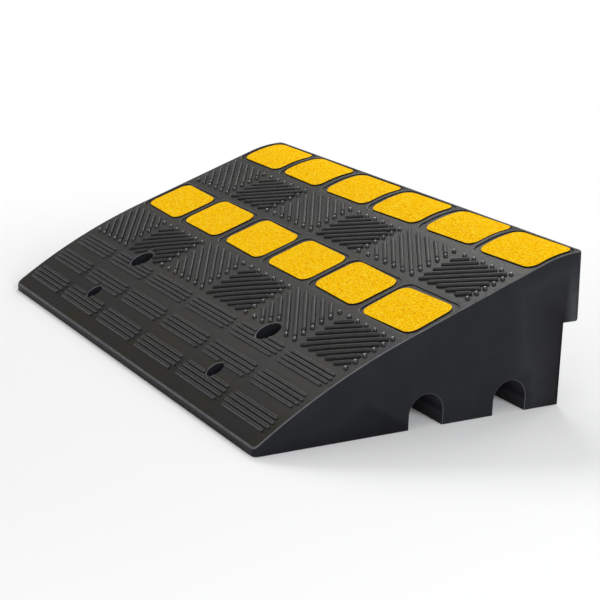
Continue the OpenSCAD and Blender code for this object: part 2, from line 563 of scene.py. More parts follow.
class Nodes:
    """A node tree under construction."""

    def __init__(self, tree: bpy.types.NodeTree) -> None:
        """Keep the tree that is being made."""
        self.tree = tree

    def node(self, kind: str, settings: dict[str, object] | None = None,
             inputs: dict[str | int, object] | None = None) -> bpy.types.Node:
        """Add a node.

        Args:
            kind: Blender's name for the kind of node.
            settings: Values of the node itself.
            inputs: Values or sockets for its inputs, by name or number.

        Returns:
            The node.
        """
        node = self.tree.nodes.new(kind)
        for name, value in (settings or {}).items():
            setattr(node, name, value)
        for name, value in (inputs or {}).items():
            self.feed(node.inputs[name], value)
        return node

    def feed(self, socket: bpy.types.NodeSocket, value: object) -> None:
        """Give an input a value, or link a socket to it."""
        if isinstance(value, bpy.types.NodeSocket):
            self.tree.links.new(value, socket)
        else:
            socket.default_value = value

    def sum(self, operation: str, *terms: object) -> bpy.types.NodeSocket:
        """Add a sum of numbers.

        Args:
            operation: Blender's name for it.
            *terms: Its numbers or sockets, in order.

        Returns:
            The socket with the result.
        """
        numbered = dict(enumerate(terms))
        return self.node("ShaderNodeMath", {"operation": operation}, numbered).outputs[0]

    def blend(self, share: object, low: object, high: object,
              kind: str = "RGBA") -> bpy.types.NodeSocket:
        """Add a mix of two colours or numbers.

        Args:
            share: Share of the second one.
            low: The first one.
            high: The second one.
            kind: RGBA for colours, FLOAT for numbers.

        Returns:
            The socket with the mix.
        """
        mix = self.node("ShaderNodeMix", {"data_type": kind})
        sockets = [s for s in mix.inputs if s.enabled]
        for socket, value in zip(sockets, (share, low, high), strict=True):
            self.feed(socket, value)
        return next(s for s in mix.outputs if s.enabled)

    def ramp(self, value: object, step: Flat) -> bpy.types.NodeSocket:
        """Add a soft step from 0 to 1 between two values."""
        node = self.node("ShaderNodeMapRange", {"interpolation_type": "SMOOTHSTEP"},
                         {"Value": value, "From Min": step[0], "From Max": step[1]})
        return node.outputs["Result"]


class MaterialTree(Nodes):
    """The nodes of a new material, round its plain shader."""

    def __init__(self, name: str) -> None:
        """Start a material.

        Args:
            name: Name of the material.
        """
        self.material = bpy.data.materials.new(name)
        self.material.use_nodes = True
        super().__init__(self.material.node_tree)
        self.shader = self.tree.nodes["Principled BSDF"]
        self.place = self.node("ShaderNodeTexCoord").outputs["Object"]

    def noise(self, kind: Noise) -> bpy.types.NodeSocket:
        """Add a noise and give the socket with its strength."""
        node = self.node("ShaderNodeTexNoise", {},
                         {"Vector": self.place, "Scale": 1.0 / (kind.size * MM),
                          "Detail": kind.detail, "Roughness": kind.rough})
        return node.outputs["Fac"]

    def patches(self, kind: Noise) -> bpy.types.NodeSocket:
        """Add patches with soft edges, which lie where a noise is strong."""
        return self.ramp(self.noise(kind), kind.step)

    def edge_and_highlight_share(self) -> bpy.types.NodeSocket:
        """Read the share of edge colour: worn edges with a painted highlight on the rubber,
        near-black sides on the pads.
        """
        return self.node("ShaderNodeAttribute", {"attribute_name": "edge_and_highlight_share"}).outputs["Fac"]

    def coat(self, base: object, share: object, strength: float,
             colour: Colour) -> bpy.types.NodeSocket:
        """Lay a colour over another one.

        Args:
            base: The colour below.
            share: Socket that says how much of the new colour shows.
            strength: Number by which that is multiplied.
            colour: The new colour.

        Returns:
            The socket with the result.
        """
        return self.blend(self.sum("MULTIPLY", share, strength), base, colour)

    def bump(self, strength: float, depth: float, height: object) -> None:
        """Raise the surface by a height, whose full depth is in millimetres."""
        node = self.node("ShaderNodeBump", {}, {"Strength": strength, "Distance": depth * MM,
                                                "Height": height})
        self.feed(self.shader.inputs["Normal"], node.outputs[0])


class GeometryTree(Nodes):
    """A tree that lays flat geometry on the ramp's top surface."""

    SLOPE = ("Wide Radius", "Wide Depth", "Wide Height", "Straight Depth", "Straight Height",
             "Rise", "Crest Depth", "Crest Radius", "Crest Centre Depth",
             "Crest Centre Height", "Toe")

    def __init__(self, name: str, sockets: dict[str, str]) -> None:
        """Start a tree.

        Args:
            name: Name of the tree.
            sockets: Kind of each input besides the slope's sizes, by name.
        """
        super().__init__(bpy.data.node_groups.new(name, "GeometryNodeTree"))
        self.tree.is_modifier = True
        face = self.tree.interface
        face.new_socket("Geometry", in_out="OUTPUT", socket_type="NodeSocketGeometry")
        face.new_socket("Geometry", in_out="INPUT", socket_type="NodeSocketGeometry")
        for label, kind in {**sockets, **dict.fromkeys(self.SLOPE, "NodeSocketFloat")}.items():
            face.new_socket(label, in_out="INPUT", socket_type=kind)
        self.given = self.node("NodeGroupInput").outputs

    def named(self, name: str, kind: str) -> bpy.types.NodeSocket:
        """Read an attribute, by its name and Blender's name for its kind."""
        return self.node("GeometryNodeInputNamedAttribute", {"data_type": kind},
                         {"Name": name}).outputs[0]

    def _arc(self, depth: bpy.types.NodeSocket, radius: str,
             centre: str) -> bpy.types.NodeSocket:
        """Find the height of an arc above its centre.

        Args:
            depth: Socket with the distance from the toe.
            radius: Name of the input with the arc's radius.
            centre: Name of the input with its centre's depth.

        Returns:
            The socket with the height.
        """
        off = self.sum("SUBTRACT", depth, self.given[centre])
        square = self.sum("MULTIPLY", self.given[radius], self.given[radius])
        return self.sum("SQRT", self.sum("SUBTRACT", square, self.sum("MULTIPLY", off, off)))

    def lay(self, flat: bpy.types.NodeSocket) -> bpy.types.NodeSocket:
        """Lay flat geometry on the slope: its height becomes height above the surface.

        Args:
            flat: Socket with the flat geometry.

        Returns:
            The socket with the geometry laid down.
        """
        given = self.given
        spot = self.node("GeometryNodeInputPosition").outputs[0]
        place = self.node("ShaderNodeSeparateXYZ", {}, {0: spot})
        depth = self.sum("ADD", place.outputs[1], given["Toe"])
        wide = self._arc(depth, "Wide Radius", "Wide Depth")
        crest = self._arc(depth, "Crest Radius", "Crest Centre Depth")
        straight = self.sum("MULTIPLY_ADD", self.sum("SUBTRACT", depth, given["Straight Depth"]),
                            given["Rise"], given["Straight Height"])
        upright = self.sum("COSINE", self.sum("ARCTANGENT", given["Rise"]))
        heights = [self.sum("ADD", wide, given["Wide Height"]), straight,
                   self.sum("ADD", crest, given["Crest Centre Height"])]
        levels = [self.sum("DIVIDE", wide, given["Wide Radius"]), upright,
                  self.sum("DIVIDE", crest, given["Crest Radius"])]
        low = self.sum("GREATER_THAN", depth, given["Straight Depth"])
        high = self.sum("GREATER_THAN", depth, given["Crest Depth"])
        height, level = (self.blend(high, self.blend(low, part[0], part[1], "FLOAT"),
                                    part[2], "FLOAT") for part in (heights, levels))
        lifted = self.sum("ADD", height, self.sum("DIVIDE", place.outputs[2], level))
        where = self.node("ShaderNodeCombineXYZ", {},
                          {0: place.outputs[0], 1: place.outputs[1], 2: lifted})
        laid = self.node("GeometryNodeSetPosition", {},
                         {"Geometry": flat, "Position": where.outputs[0]})
        return laid.outputs[0]

    def close(self, made: bpy.types.NodeSocket) -> bpy.types.NodeTree:
        """End the tree with real geometry in the given material.

        Args:
            made: Socket with what was made.

        Returns:
            The tree.
        """
        real = self.node("GeometryNodeRealizeInstances", {}, {0: made}).outputs[0]
        dressed = self.node("GeometryNodeSetMaterial", {},
                            {"Geometry": real, "Material": self.given["Material"]})
        self.node("NodeGroupOutput", {}, {0: dressed.outputs[0]})
        return self.tree


def slope_inputs(slope: Slope) -> dict[str, float]:
    """Give the slope's sizes as a tree takes them, in metres."""
    values = (slope.wide_radius, *slope.wide_centre, *slope.straight_start, slope.rise / MM,
              slope.crest_start[0], slope.crest_radius, *slope.crest_centre, slope.depth / 2)
    return {name: MM * value for name, value in zip(GeometryTree.SLOPE, values, strict=True)}


def grow(name: str, mesh: bpy.types.Mesh, tree: bpy.types.NodeTree,
         values: dict[str, object]) -> bpy.types.Object:
    """Run a tree on a mesh and keep the result as a plain mesh.

    Args:
        name: Name of the piece.
        mesh: The mesh that the tree starts from.
        tree: The tree.
        values: Its inputs, by name.

    Returns:
        The piece, in the scene.
    """
    seed = put(name + "_seed", mesh)
    modifier = seed.modifiers.new("Tree", "NODES")
    modifier.node_group = tree
    for item in tree.interface.items_tree:
        if item.item_type == "SOCKET" and item.in_out == "INPUT" and item.name in values:
            modifier[item.identifier] = values[item.name]
    seed.update_tag()
    bpy.context.view_layer.update()
    graph = bpy.context.evaluated_depsgraph_get()
    result = bpy.data.meshes.new_from_object(seed.evaluated_get(graph), depsgraph=graph)
    result.name = name
    seed.modifiers.remove(modifier)
    bpy.data.objects.remove(seed)
    return put(name, result)


# The finishes


@dataclass(frozen=True)
class RubberFinish:
    """Black moulded rubber: matt, faintly mottled, dusty where it faces up, pale on its worn edges,
    where the pale colour also paints a highlight.
    """

    name: str = "moulded_rubber"
    dark: Colour = (0.0134, 0.0141, 0.0172, 1.0)
    pale: Colour = (0.0156, 0.0163, 0.0198, 1.0)
    dust: Colour = (0.0190, 0.0150, 0.0030, 1.0)
    # Pale colour of the worn edges, which also paints the highlight on them
    edge_and_highlight: Colour = (0.1900, 0.1920, 0.1960, 1.0)
    gloss: float = 0.37
    shine: float = 0.072
    mottle: Noise = Noise(26.0, 4.0, 0.6, (0.35, 0.70))
    drifts: Noise = Noise(55.0, 5.0, 0.65, (0.25, 0.75))
    specks: Noise = Noise(1.9, 2.0, 0.5, (0.20, 0.62))
    rubs: Noise = Noise(7.0, 3.0, 0.5, (-0.35, 0.75))
    sheen: Noise = Noise(1.6, 3.0, 0.6)
    grain: Noise = Noise(0.7, 2.0)
    swell: Noise = Noise(9.0, 3.0)
    facing_up: Flat = (0.30, 0.85)
    dust_strength: float = 1.1
    wear_and_highlight_strength: float = 0.75
    gloss_range: float = 0.22
    worn_gloss: float = 0.12
    grain_strength: float = 0.4
    bump_strength: float = 0.6
    bump_depth: float = 0.35

    def build(self) -> bpy.types.Material:
        """Make the material.

        Returns:
            The material.
        """
        nodes = MaterialTree(self.name)
        normal = nodes.node("ShaderNodeNewGeometry").outputs["Normal"]
        up = nodes.node("ShaderNodeSeparateXYZ", {}, {0: normal}).outputs[2]
        dusty = nodes.sum("MULTIPLY", nodes.ramp(up, self.facing_up), nodes.patches(self.drifts))
        dusty = nodes.sum("MULTIPLY", dusty, nodes.patches(self.specks))
        edge_and_highlight_share = nodes.edge_and_highlight_share()
        # Pale worn edges with a painted highlight, broken into patches
        rubbed_and_highlit = nodes.sum("MULTIPLY", edge_and_highlight_share, nodes.patches(self.rubs))
        base = nodes.blend(nodes.patches(self.mottle), self.dark, self.pale)
        base = nodes.coat(base, dusty, self.dust_strength, self.dust)
        base = nodes.coat(base, rubbed_and_highlit, self.wear_and_highlight_strength, self.edge_and_highlight)
        nodes.feed(nodes.shader.inputs["Base Color"], base)
        rough = nodes.sum("MULTIPLY_ADD", nodes.noise(self.sheen), self.gloss_range,
                          self.gloss - self.gloss_range / 2)
        nodes.feed(nodes.shader.inputs["Roughness"],
                   nodes.sum("MULTIPLY_ADD", edge_and_highlight_share, -self.worn_gloss, rough))
        nodes.shader.inputs["Specular IOR Level"].default_value = self.shine
        nodes.bump(self.bump_strength, self.bump_depth,
                   nodes.sum("MULTIPLY_ADD", nodes.noise(self.grain), self.grain_strength,
                             nodes.noise(self.swell)))
        return nodes.material


@dataclass(frozen=True)
class PadFinish:
    """Yellow reflective sheet with a knobbly skin, pale grains that paint glints, and near-black
    sides.
    """

    name: str = "yellow_reflective_sheet"
    yellow: Colour = (0.960, 0.545, 0.002, 1.0)
    deep: Colour = (0.840, 0.345, 0.001, 1.0)
    # Pale yellow of the painted glints in the grains and of the paler clouds
    pale: Colour = (1.000, 0.780, 0.060, 1.0)
    dark_sides: Colour = (0.0200, 0.0170, 0.0120, 1.0)
    knob_size: float = 2.3
    knob_softness: float = 0.7
    knob_step: Flat = (0.42, 0.80)
    grains_and_glints: Noise = Noise(1.7, 2.0, 0.6, (0.54, 0.64))
    clouds: Noise = Noise(14.0, 3.0, 0.5, (0.50, 0.80))
    # Strength of the pale grains, which paint glints
    grain_strength: float = 0.85
    cloud_strength: float = 0.15
    dark_side_step: Flat = (0.35, 0.75)
    gloss: float = 0.50
    gloss_range: float = 0.20
    grain_height: float = 0.5
    bump_strength: float = 0.8
    bump_depth: float = 0.6

    def build(self) -> bpy.types.Material:
        """Make the material.

        Returns:
            The material.
        """
        nodes = MaterialTree(self.name)
        knobs = nodes.node("ShaderNodeTexVoronoi", {"feature": "SMOOTH_F1"},
                           {"Vector": nodes.place, "Scale": 1.0 / (self.knob_size * MM),
                            "Smoothness": self.knob_softness}).outputs["Distance"]
        grains_and_glints = nodes.noise(self.grains_and_glints)
        base = nodes.blend(nodes.ramp(knobs, self.knob_step), self.yellow, self.deep)
        # Pale grains: painted glints of the sheet
        base = nodes.coat(base, nodes.ramp(grains_and_glints, self.grains_and_glints.step), self.grain_strength,
                          self.pale)
        base = nodes.coat(base, nodes.patches(self.clouds), self.cloud_strength, self.pale)
        # The sides and the lower part of the rounded top edge are near-black
        base = nodes.blend(nodes.ramp(nodes.edge_and_highlight_share(), self.dark_side_step), base, self.dark_sides)
        nodes.feed(nodes.shader.inputs["Base Color"], base)
        nodes.feed(nodes.shader.inputs["Roughness"],
                   nodes.sum("MULTIPLY_ADD", grains_and_glints, self.gloss_range, self.gloss))
        nodes.shader.inputs["Specular IOR Level"].default_value = 0.0
        nodes.bump(self.bump_strength, self.bump_depth,
                   nodes.sum("SUBTRACT", nodes.sum("MULTIPLY", grains_and_glints, self.grain_height), knobs))
        return nodes.material


# Near-black rubber of the studs, darker than the body's: painted shade
STUD_SHADE = (0.0065, 0.0068, 0.0080, 1.0)
MOULDED = RubberFinish()
# Darker copy of the body's rubber on the ribs: painted shade, with a fainter pale edge colour that
# paints their highlight
RIBBED_SHADED = RubberFinish("ribbed_rubber_painted_shade", (0.0060, 0.0063, 0.0076, 1.0), (0.0075, 0.0079, 0.0095, 1.0),
                      edge_and_highlight=(0.085, 0.087, 0.090, 1.0), shine=0.09)
# The studs: smoother rubber darkened as painted shade, with a bluish white painted highlight on
# their tops
STUD_SHADE_AND_HIGHLIGHT = RubberFinish("stud_rubber_painted_shade_and_highlight", STUD_SHADE, STUD_SHADE, STUD_SHADE, (0.330, 0.345, 0.375, 1.0),
                        gloss=0.17, shine=0.50)


# The rubber body


@dataclass
class RampBody:
    """The moulded body: top skin with pockets, sides, toe, rear lip, channels and holes."""

    layout: Layout
    corner_radius: float = 5.0
    side_round: float = 1.2
    toe_round: float = 3.4
    rear_round: float = 2.0
    lip_out: float = 20.0
    lip_height: float = 84.0
    lip_round: float = 2.5
    channels: tuple[float, float] = (183.5, 280.5)
    channel_width: float = 38.0
    channel_height: float = 33.0
    channel_round: float = 0.8
    pocket_round: float = 1.0
    hole_round: float = 1.0
    skin: Shell = field(default_factory=Shell)

    CORNER_TURNS = 5
    EDGE_TURNS = 4
    STEPS = (60, 72)
    TOP_START = 1.0
    TOP_PITCH = (7.5, 4.5)
    TOP_MARGIN = 1.6
    POCKET_TURNS = 7
    POCKET_STEPS = (8, 8)
    POCKET_PITCH = (8.0, 5.0)
    POCKET_FILLET = ((0.0, 0.4), (0.12, 0.12), (0.4, 0.0))
    HOLE_STEPS = 40
    ARCH_STEPS = 24
    MOUTH_STEPS = 2
    # Shares of the pale edge colour: worn edges with a painted highlight
    EDGE_WEAR_AND_HIGHLIGHT = 0.9
    LIP_WEAR_AND_HIGHLIGHT = 0.3
    MOUTH_WEAR_AND_HIGHLIGHT = 0.8

    def build(self, finish: bpy.types.Material) -> bpy.types.Object:
        """Make the body.

        Args:
            finish: The rubber.

        Returns:
            The piece.
        """
        layout, slope = self.layout, self.layout.slope
        edge = self._edge()
        holes = [self._hole(hole) for hole in layout.holes]
        pockets = [self._pocket(layout.middle(column), front, depth)
                   for front, depth in ((layout.slope_row, layout.slope_pocket),
                                        (layout.crest_row, layout.crest_pocket))
                   for column in range(layout.columns)]
        grid = rows_of(-slope.width / 2, slope.width / 2, self.TOP_START, slope.depth,
                       self.TOP_PITCH)
        self.skin.fill([edge[0], *pockets, *[mouth for mouth, _ in holes]], FROM_ABOVE, grid,
                       lambda x, y: (x, y, slope.top(y)), self.TOP_MARGIN)
        self._walls(edge, [foot for _, foot in holes])
        mesh = self.skin.mesh("rubber_body")
        mesh.transform(Matrix.Translation((0, -MM * slope.depth / 2, 0)))
        mesh.materials.append(finish)
        return put("rubber_body", mesh)

    @staticmethod
    def _ring_edge_and_highlight(ring: int, last: int, edge_and_highlight_share: float) -> float:
        """Share of the pale edge colour on a ring of a rounded edge, which paints wear and a
        highlight; the first and last ring have none.
        """
        return edge_and_highlight_share if 0 < ring < last else 0.0

    def _on_top(self, stations: Iterable[Station], inwards: float, lift: float,
                edge_and_highlight_share: float = 0.0) -> list[int]:
        """Add an outline that is moved inwards and lifted above the top surface."""
        spots = [station.moved(inwards) for station in stations]
        return self.skin.add([(x, y, self.layout.slope.top(y) + lift) for x, y in spots], edge_and_highlight_share)

    def _rounded_rim(self, stations: list[Station], radius: float) -> list[list[int]]:
        """Round the rim of an opening in the top surface.

        Args:
            stations: The opening's outline.
            radius: Radius of the rim.

        Returns:
            Its rings, from the top surface inwards.
        """
        rings, last = [], self.EDGE_TURNS - 1
        for k in range(last + 1):
            turn = math.pi / 2 * k / last
            rings.append(self._on_top(stations, radius * (math.sin(turn) - 1),
                                      radius * (math.cos(turn) - 1),
                                      self._ring_edge_and_highlight(k, last, self.EDGE_WEAR_AND_HIGHLIGHT)))
        return rings

    def _pocket(self, middle: float, front: float, depth: float) -> list[int]:
        """Sink a pocket.

        Args:
            middle: Its middle across the ramp.
            front: Its front edge.
            depth: Its depth seen from above.

        Returns:
            The loop where it meets the top surface.
        """
        layout, half = self.layout, self.layout.pocket_width / 2
        sides = (middle - half, middle + half, front, front + depth)
        outline = rounded(*sides, layout.pocket_radius, self.POCKET_TURNS, self.POCKET_STEPS)
        rings = self._rounded_rim(outline, self.pocket_round)
        sink = layout.pocket_sink
        for inwards, above in self.POCKET_FILLET:
            rings.append(self._on_top(outline, inwards, above - sink))
        self.skin.strips(rings)
        self.skin.fill([rings[-1]], FROM_ABOVE, rows_of(*sides, self.POCKET_PITCH),
                       lambda x, y: (x, y, layout.slope.top(y) - sink))
        return rings[0]

    def _hole(self, hole: Hole) -> tuple[list[int], list[int]]:
        """Cut a fixing hole.

        Args:
            hole: The hole.

        Returns:
            The loop in the top surface and the loop in the underside.
        """
        entry = circle(hole.across, hole.depth, hole.entry / 2, self.HOLE_STEPS)
        foot = circle(hole.across, hole.depth, hole.foot / 2, self.HOLE_STEPS)
        rings = self._rounded_rim(entry, self.hole_round)
        for outline, height in ((entry, hole.seat), (foot, hole.seat), (foot, 0.0)):
            rings.append(self.skin.add([(s.across, s.depth, height) for s in outline]))
        self.skin.strips(rings)
        return rings[0], rings[-1]

    def _outline(self, height: Callable[[Station], float]) -> list[Station]:
        """Draw the body's outline seen from above, where the rear leans with height.

        Args:
            height: Gives the height of a station.

        Returns:
            Its stations.
        """
        slope, sizes = self.layout.slope, (self.corner_radius, self.CORNER_TURNS, self.STEPS)
        half, rear = slope.width / 2, slope.depth - slope.lip_lean
        upper = rounded(-half, half, 0.0, rear, *sizes)
        lower = rounded(-half, half, 0.0, slope.depth, *sizes)
        found = []
        for high, low in zip(upper, lower, strict=True):
            share = (slope.height - height(high)) / (slope.height - self.lip_height)
            share = min(1.0, max(0.0, share))
            depth = high.depth + share * (low.depth - high.depth)
            found.append(Station(high.across, depth, high.out))
        return found

    def _edge_radius(self, station: Station) -> float:
        """Find how round the top edge is, which differs at the toe, the sides and the rear.

        Args:
            station: A station of the outline.

        Returns:
            The radius there.
        """
        way = station.out[1]
        end = self.toe_round if way < 0 else self.rear_round
        return self.side_round + (end - self.side_round) * smooth_step(abs(way))

    def _edge(self) -> list[list[int]]:
        """Round the edge of the top surface.

        Returns:
            Its rings, from the top surface outwards.
        """
        slope = self.layout.slope
        stations = self._outline(lambda s: slope.top(s.depth))
        rings = []
        for k in range(self.EDGE_TURNS + 1):
            ring = []
            for s in stations:
                radius = self._edge_radius(s)
                fall = slope.steepness(s.depth) * s.out[1]
                turn = math.atan2(1.0, -fall) * (1.0 - k / self.EDGE_TURNS)
                centre = slope.top(s.depth) - radius * (fall + math.hypot(1.0, fall))
                x, y = s.moved(radius * (1.0 - math.cos(turn)))
                ring.append((x, y, slope.top(y) if k == 0 else centre + radius * math.sin(turn)))
            rings.append(self.skin.add(ring, self._ring_edge_and_highlight(k, self.EDGE_TURNS, self.EDGE_WEAR_AND_HIGHLIGHT)))
        self.skin.strips(rings)
        return rings

    def _walls(self, edge: list[list[int]], feet: list[list[int]]) -> None:
        """Make everything below the top surface's edge.

        Args:
            edge: The rings of the edge, from the top surface outwards.
            feet: The holes' loops in the underside.
        """
        skin, slope = self.skin, self.layout.slope
        half, turns, (across, along) = slope.width / 2, self.CORNER_TURNS, self.STEPS
        right_rear = turns + along
        left_rear = right_rear + 2 * turns + across
        left_front = left_rear + along
        last = edge[-1]
        front = [*range(left_front, len(last)), *range(turns + 1)]
        rear = list(range(right_rear, left_rear + 1))
        ground = self._outline(lambda s: 0.0)
        toe = skin.add([(ground[i].across, ground[i].depth, 0.0) for i in front])
        skin.strip([last[i] for i in front], toe, False)
        lip = self._lip([last[i] for i in rear], [ground[i] for i in rear])
        inner = slope.depth - self.lip_out
        back = {side: skin.add([(side * half, inner, self.lip_height), (side * half, inner, 0.0)])
                for side in (1, -1)}
        arches = [self._channel(middle) for middle in self.channels]
        tops = {1: [last[i] for i in range(turns, right_rear + 1)],
                -1: [last[i] for i in range(left_front, left_rear - 1, -1)]}
        for side, start, corner in ((1, toe[-1], lip[0]), (-1, toe[0], lip[-1])):
            mouths = [i for arch in arches for i in arch[side][0]]
            skin.fill([[start, *mouths, *reversed(back[side]), corner, *reversed(tops[side])]],
                      FROM_THE_SIDE)
        skin.fill([[back[1][0], *lip, back[-1][0]]], FROM_ABOVE)
        skin.faces.append([*back[1], *reversed(back[-1])])
        # The underside is three areas, each between two edges that run across the ramp
        ends = [toe]
        for arch in arches:
            for foot in (0, -1):
                right, left = ([ring[foot] for ring in arch[side]] for side in (1, -1))
                ends.append([*right, *reversed(left)])
        ends.append([back[1][1], back[-1][1]])
        for number in range(0, len(ends), 2):
            front_end, rear_end = ends[number:number + 2]
            loop = [*(reversed(front_end) if number else front_end), *rear_end]
            skin.fill([loop, *(feet if number == 0 else [])], FROM_ABOVE)

    def _lip(self, top: list[int], stations: list[Station]) -> list[int]:
        """Make the lip's rear face and its rounded lower edge.

        Args:
            top: The points above it.
            stations: Its outline.

        Returns:
            The loop in the lip's underside.
        """
        rings = [top]
        turns = self.EDGE_TURNS - 1
        for k in range(turns + 1):
            turn, ring = math.pi / 2 * k / turns, []
            for s in stations:
                radius = self.lip_round * smooth_step(abs(s.out[1]))
                x, y = s.moved(radius * (1.0 - math.cos(turn)))
                ring.append((x, y, self.lip_height + radius * (1.0 - math.sin(turn))))
            rings.append(self.skin.add(ring, self._ring_edge_and_highlight(k, turns, self.LIP_WEAR_AND_HIGHLIGHT)))
        self.skin.strips(rings, False)
        return rings[-1]

    def _channel(self, middle: float) -> dict[int, list[list[int]]]:
        """Cut a channel with rounded mouths.

        Args:
            middle: Its middle, from the toe.

        Returns:
            The rings of its right (1) and left (-1) mouth, from the side inwards.
        """
        radius, half = self.channel_width / 2, self.layout.slope.width / 2
        leg = self.channel_height - radius
        turns = [math.pi * (1.0 - k / self.ARCH_STEPS) for k in range(self.ARCH_STEPS + 1)]
        ways = [(math.cos(turn), math.sin(turn)) for turn in turns]
        profile = [(-radius, 0.0, (-1.0, 0.0)),
                   *[(radius * way[0], leg + radius * way[1], way) for way in ways],
                   (radius, 0.0, (1.0, 0.0))]
        mouths: dict[int, list[list[int]]] = {1: [], -1: []}
        for side, rings in mouths.items():
            for k in range(self.MOUTH_STEPS + 1):
                turn = math.pi / 2 * k / self.MOUTH_STEPS
                out = self.channel_round * (1 - math.sin(turn))
                back = self.channel_round * (1 - math.cos(turn))
                rings.append(self.skin.add(
                    [(side * (half - back), middle + y + way[0] * out, z + way[1] * out)
                     for y, z, way in profile], self._ring_edge_and_highlight(k, self.MOUTH_STEPS, self.MOUTH_WEAR_AND_HIGHLIGHT)))
            self.skin.strips(rings, False)
        self.skin.strip(mouths[1][-1], mouths[-1][-1], False)
        return mouths


# The raised tread


def along(start: Flat, way: Flat, share: float) -> Flat:
    """The place that lies a share of a way on from a start."""
    return start[0] + share * way[0], start[1] + share * way[1]


class Raised(Enum):
    """The raised shapes of the tread: width, height and pale edge colour of each ring, as shares.
    The edge colour is a painted highlight, with wear, along the ribs and bars, and a painted
    highlight on the studs' tops.
    """

    RIB = ((1.06, -0.5, 0.0), (1.0, 0.05, 0.0), (0.93, 0.50, 0.35),
           (0.78, 0.78, 1.0), (0.52, 0.94, 0.35), (0.22, 1.0, 0.0))
    BAR = ((1.06, -0.5, 0.0), (1.0, 0.05, 0.0), (0.93, 0.62, 0.35),
           (0.78, 0.88, 1.0), (0.52, 0.98, 0.35), (0.25, 1.0, 0.0))
    # The studs' top rings take the whole painted highlight
    STUD = ((1.05, -0.5, 0.0), (1.0, 0.05, 0.0), (0.90, 0.46, 0.0),
            (0.70, 0.76, 0.0), (0.44, 0.93, 1.0), (0.20, 1.0, 1.0))


